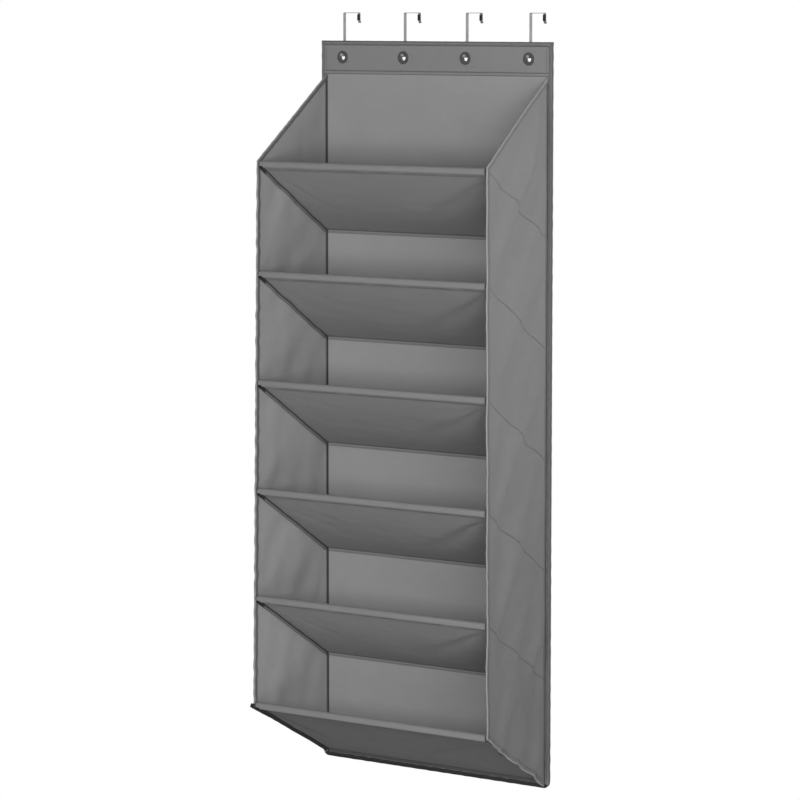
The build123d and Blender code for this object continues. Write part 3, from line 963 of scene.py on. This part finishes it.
def shelfTapes(number, hinge, slope, length):
    # ribbed tapes that hang square from the sheet's underside along both side seams
    along = np.linspace(0.004, length + 0.002, 70)[:, None]
    down = np.linspace(0.0012, shelfSet["tapeDepth"], 8)[None, :]
    for side, label in ((-1, "left"), (1, "right")):
        wave = 0.0002 * folds(along + 0 * down, down + 0 * along, 300 + number, waves=5, shortest=0.01,
                              longest=0.05, spread=0.3)
        x = side * (shelfHalf - 0.0006 - 0.5 * wave - 0.0012 * smoothStep(down, 0.004, 0.012) + 0 * along)
        y = hinge.y - along * math.cos(slope) - down * math.sin(slope)
        z = hinge.z + along * math.sin(slope) - down * math.cos(slope)
        points = hang(np.stack(np.broadcast_arrays(x, y, z), axis=-1))
        flat = np.stack(np.broadcast_arrays(along + number + 11, down), axis=-1)
        # painted shade at the tape's top edge and along its free edge
        freeEdge = 0.9 * bell(down, shelfSet["tapeDepth"], 0.0010)
        seamShade = np.maximum(smoothStep(0.0050 - down, 0, 0.0016), freeEdge) + 0 * along
        # painted black shadow in the open sleeve end at the front, and along the whole tape of the lowest
        # shelf
        darkFrom = 0.0 if number == 5 else length - shelfSet["openEndShadow"]
        openEndShadow = smoothStep(along, darkFrom - 0.001, darkFrom + 0.001) + 0 * down
        if side > 0:
            openEndShadow = openEndShadow * (number == 5) * 0.6
        piece = gridSurface(f"shelfTape_{label}_{number + 1}", points, flat, [seamTape], facing=(-side, 0, 0),
                            marks={"seamShade": seamShade, "openEndShadow": openEndShadow})
        thicken(piece, 0.0006)
        place(piece, f"shelf_{number + 1}", "binding_tape", [f"shelf_seam_tape_{number + 1}"])


shelfRuns = [shelf(number) for number in range(6)]
print("shelves done")


padSet = {"squareness": 0.28, "rings": 26, "sides": 40}


def foamPad(number):
    # rounded rectangles carried down the pad and shrunk at both ends
    low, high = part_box(f"hook_pad_{number}")
    centre, half = (np.array(low) + np.array(high)) / 2, (np.array(high) - np.array(low)) / 2
    turn = np.linspace(0, 2 * math.pi, padSet["sides"], endpoint=False)
    squareness, rings = padSet["squareness"], padSet["rings"]
    ringX = np.sign(np.cos(turn)) * np.abs(np.cos(turn)) ** squareness
    ringY = np.sign(np.sin(turn)) * np.abs(np.sin(turn)) ** squareness
    up = np.sin(np.linspace(-math.pi / 2 + 0.12, math.pi / 2 - 0.12, rings))
    tall = np.sign(up) * (1 - (1 - np.abs(up)) ** 1.4)
    shrink = (1 - np.abs(up) ** 10) ** 0.3
    shrink = 0.55 + 0.45 * shrink / shrink.max()
    x = centre[0] + half[0] * ringX[None, :] * shrink[:, None]
    y = centre[1] + half[1] * ringY[None, :] * shrink[:, None]
    z = centre[2] + half[2] * tall[:, None] + 0 * x
    flat = np.zeros((rings, padSet["sides"] + 1, 2))
    points = np.stack([x, y, z], axis=-1)
    piece = gridSurface(f"foamPad_{number}", points, flat, [padFoam], closed=True, caps=True)
    place(piece, f"hook_{number}", "black_foam", [f"hook_pad_{number}"])


for number in range(1, 5):
    foamPad(number)
print("foam pads done")


stitchSet = {"pitch": 0.0045, "length": 0.0031, "radius": 0.00032}


def stitches(name, runs, body, squashKeep=None):
    # six-sided capsules laid end to end along every run, each a copy of one small grid
    centres, tangents, normals = [], [], []
    for path, normal in runs:
        length = runLength(path)
        wanted = np.arange(stitchSet["pitch"], length[-1] - stitchSet["pitch"], stitchSet["pitch"])
        if not len(wanted):
            continue
        at = lambda d: np.stack([np.interp(d, length, path[:, k]) for k in range(3)], axis=1)
        centres.append(at(wanted))
        tangents.append(at(wanted + 0.0008) - at(wanted - 0.0008))
        normals.append(np.stack([np.interp(wanted, length, normal[:, k]) for k in range(3)], axis=1))
    centre, tangent, normal = (np.concatenate(group) for group in (centres, tangents, normals))
    tangent /= np.linalg.norm(tangent, axis=1)[:, None]
    normal -= (normal * tangent).sum(axis=1)[:, None] * tangent
    normal /= np.linalg.norm(normal, axis=1)[:, None]
    third = np.cross(tangent, normal)
    turn = np.linspace(0, 2 * math.pi, 6, endpoint=False)
    along = np.array([-0.5, -0.42, 0.42, 0.5]) * stitchSet["length"]
    wide = np.array([0.45, 1.0, 1.0, 0.45]) * stitchSet["radius"]
    arch = np.array([-0.6, 0.1, 0.1, -0.6]) * stitchSet["radius"]
    up, out = arch[:, None] + wide[:, None] * np.sin(turn), wide[:, None] * np.cos(turn)
    local = np.stack(np.broadcast_arrays(along[:, None], up, out), axis=-1).reshape(-1, 3)
    verts = centre[:, None, :] + local[None, :, :1] * tangent[:, None, :]
    verts = verts + local[None, :, 1:2] * normal[:, None, :] + local[None, :, 2:] * third[:, None, :]
    ring = np.arange(6)
    level, a = np.repeat(np.arange(3), 6) * 6, np.tile(ring, 3)
    after = (a + 1) % 6
    quads = np.stack([level + a, level + after, level + 6 + after, level + 6 + a], axis=1)
    start = (np.arange(len(centre)) * 24)[:, None, None]
    faces = (quads[None] + start).reshape(-1, 4)
    ends = np.array([ring[::-1], 18 + ring])
    caps = (ends[None] + start).reshape(-1, 6)
    mesh = bpy.data.meshes.new(name)
    mesh.from_pydata(verts.reshape(-1, 3), [], faces.tolist() + caps.tolist())
    layer = mesh.uv_layers.new(name="clothFlat")
    index = np.zeros(len(mesh.loops), np.int32)
    mesh.loops.foreach_get("vertex_index", index)
    flat = np.stack([(local[:, 0])[index % 24] + 0.01 * (index // 24), local[:, 2][index % 24]], axis=1)
    layer.data.foreach_set("uv", flat.astype(np.float32).ravel())
    piece = putObject(name, mesh, [threadCloth])
    place(piece, body, "grey_cloth", (), squashKeep)
    return len(centre)


def hungRuns(runs):
    # runs given on the flat layout, moved as the cloth hangs
    return [(hang(path), normal) for path, normal in runs]


half, low, high = headHigh.x, headLow.z, headHigh.z
faceY = headLow.y - 0.0002
for start, end in (((-half + 0.006, low + headerSet["hem"]), (half - 0.006, low + headerSet["hem"])),
                   ((-half + 0.0055, low + 0.008), (-half + 0.0055, high - 0.006)),
                   ((half - 0.0055, low + 0.008), (half - 0.0055, high - 0.006))):
    line = np.linspace(start, end, 200)
    path = np.stack([line[:, 0], np.full(200, faceY + 0.0007), line[:, 1]], axis=1)
    stitchRuns["header"].append((path, np.repeat([[0, -1, 0]], 200, axis=0)))
total = stitches("threadBack", stitchRuns["back"] + stitchRuns["header"], "organizer")
total += stitches("threadLeft", hungRuns(stitchRuns["left"]), "organizer", sideSet["keep"])
total += stitches("threadRight", hungRuns(stitchRuns["right"]), "organizer", sideSet["keep"])
for number, runs in enumerate(shelfRuns, start=1):
    total += stitches(f"threadShelf_{number}", runs, f"shelf_{number}")
print("stitches done:", total)


stageSet = {"floorZ": -2.04, "floorRadius": 2.4, "ambient": 0.07, "mirrored": 0.6}
lightSet = {  # azimuth, elevation, distance, width, height, power and spread, then the height aimed at
    "frontLight": (5, 8, 4.5, 1.6, 1.8, 84.0, 180, -0.75),
    "keyLight": (47, 8, 4.5, 2.6, 1.8, 98.0, 180, -0.75),
    "lowLight": (50, -22, 4.5, 1.6, 1.6, 34.0, 180, -0.75),
    "sideLight": (100, 6, 4.0, 1.0, 1.0, 5.4, 40, -0.35),
    "leftLight": (-108, 10, 4.0, 1.6, 1.6, 45.0, 180, -0.75),
    "rearLight": (185, 10, 4.5, 2.2, 1.8, 90.0, 180, -0.75),
}


def floorMaterial():
    # pale matt floor that fades out towards its rim and isn't seen from below
    material, tree, shader = newMaterial("paleFloor")
    shader.inputs["Base Color"].default_value = (0.82, 0.82, 0.82, 1)
    shader.inputs["Roughness"].default_value = 0.8
    coords = tree.nodes.new("ShaderNodeTexCoord")
    distance = tree.nodes.new("ShaderNodeVectorMath")
    distance.operation = "LENGTH"
    flatten = tree.nodes.new("ShaderNodeMapping")
    flatten.inputs["Scale"].default_value = (1, 1, 0)
    tree.links.new(coords.outputs["Object"], flatten.inputs["Vector"])
    tree.links.new(flatten.outputs[0], distance.inputs[0])
    fade = mathNode(tree, "MULTIPLY", mathNode(tree, "SUBTRACT", distance.outputs["Value"], 0.7), 1.2, True)
    geometry = tree.nodes.new("ShaderNodeNewGeometry")
    clear = tree.nodes.new("ShaderNodeBsdfTransparent")
    hide = mathNode(tree, "MAXIMUM", fade, geometry.outputs["Backfacing"])
    mix = tree.nodes.new("ShaderNodeMixShader")
    tree.links.new(hide, mix.inputs[0])
    tree.links.new(shader.outputs[0], mix.inputs[1])
    tree.links.new(clear.outputs[0], mix.inputs[2])
    tree.links.new(mix.outputs[0], tree.nodes["Material Output"].inputs[0])
    return material


def floorDisc():
    # rings of points out to the floor's rim
    radius = np.linspace(0.02, stageSet["floorRadius"], 24)[:, None]
    turn = np.linspace(0, 2 * math.pi, 96, endpoint=False)[None, :]
    level = np.full((24, 96), stageSet["floorZ"])
    points = np.stack([radius * np.cos(turn), radius * np.sin(turn), level], axis=-1)
    flat = np.concatenate([points[..., :2], points[:, :1, :2]], axis=1)
    disc = gridSurface("floorDisc", points, flat, [floorMaterial()], closed=True, facing=(0, 0, 1))


def areaLight(name, azimuth, elevation, distance, width, height, power, spread, aim):
    # azimuth 0 is straight in front, positive to the right
    light = bpy.data.lights.new(name, "AREA")
    light.shape = "RECTANGLE"
    light.size, light.size_y, light.energy = width, height, power
    light.spread = math.radians(spread)
    lamp = bpy.data.objects.new(name, light)
    bpy.context.scene.collection.objects.link(lamp)
    a, e = math.radians(azimuth), math.radians(elevation)
    back = Vector((math.sin(a) * math.cos(e), -math.cos(a) * math.cos(e), math.sin(e)))
    lamp.location = Vector((0, -0.1, aim)) + back * distance
    lamp.rotation_euler = (-back).to_track_quat("-Z", "Y").to_euler()
    lamp.visible_camera = False


def world():
    # white to the camera, weaker and even for everything else
    made = bpy.data.worlds.new("studio")
    made.use_nodes = True
    tree = made.node_tree
    tree.nodes.clear()
    seen, even = tree.nodes.new("ShaderNodeBackground"), tree.nodes.new("ShaderNodeBackground")
    seen.inputs["Strength"].default_value = 1.0
    seen.inputs["Color"].default_value = (1, 1, 1, 1)
    path = tree.nodes.new("ShaderNodeLightPath")
    mirrored = mathNode(tree, "MULTIPLY", path.outputs["Is Glossy Ray"], stageSet["mirrored"])
    tree.links.new(mathNode(tree, "ADD", mirrored, stageSet["ambient"]), even.inputs["Strength"])
    even.inputs["Color"].default_value = (1, 1, 1, 1)
    mix, output = tree.nodes.new("ShaderNodeMixShader"), tree.nodes.new("ShaderNodeOutputWorld")
    tree.links.new(path.outputs["Is Camera Ray"], mix.inputs[0])
    tree.links.new(even.outputs[0], mix.inputs[1])
    tree.links.new(seen.outputs[0], mix.inputs[2])
    tree.links.new(mix.outputs[0], output.inputs[0])
    bpy.context.scene.world = made


floorDisc()
world()
for label, values in lightSet.items():
    areaLight(label, *values)

cameraSet = {"place": (4.060, -5.790, 0.018), "turn": 35.62, "down": 6.36, "lens": 159.8}
camera = bpy.data.objects.new("frontRightCamera", bpy.data.cameras.new("frontRightCamera"))
bpy.context.scene.collection.objects.link(camera)
camera.location = cameraSet["place"]
camera.rotation_euler = (math.radians(90 - cameraSet["down"]), 0, math.radians(cameraSet["turn"]))
camera.data.lens, camera.data.sensor_width = cameraSet["lens"], 36.0
camera.data.clip_start, camera.data.clip_end = 0.1, 60.0
bpy.context.scene.camera = camera
bpy.context.scene.view_settings.view_transform = "Standard"
print("stage, lights and camera done")
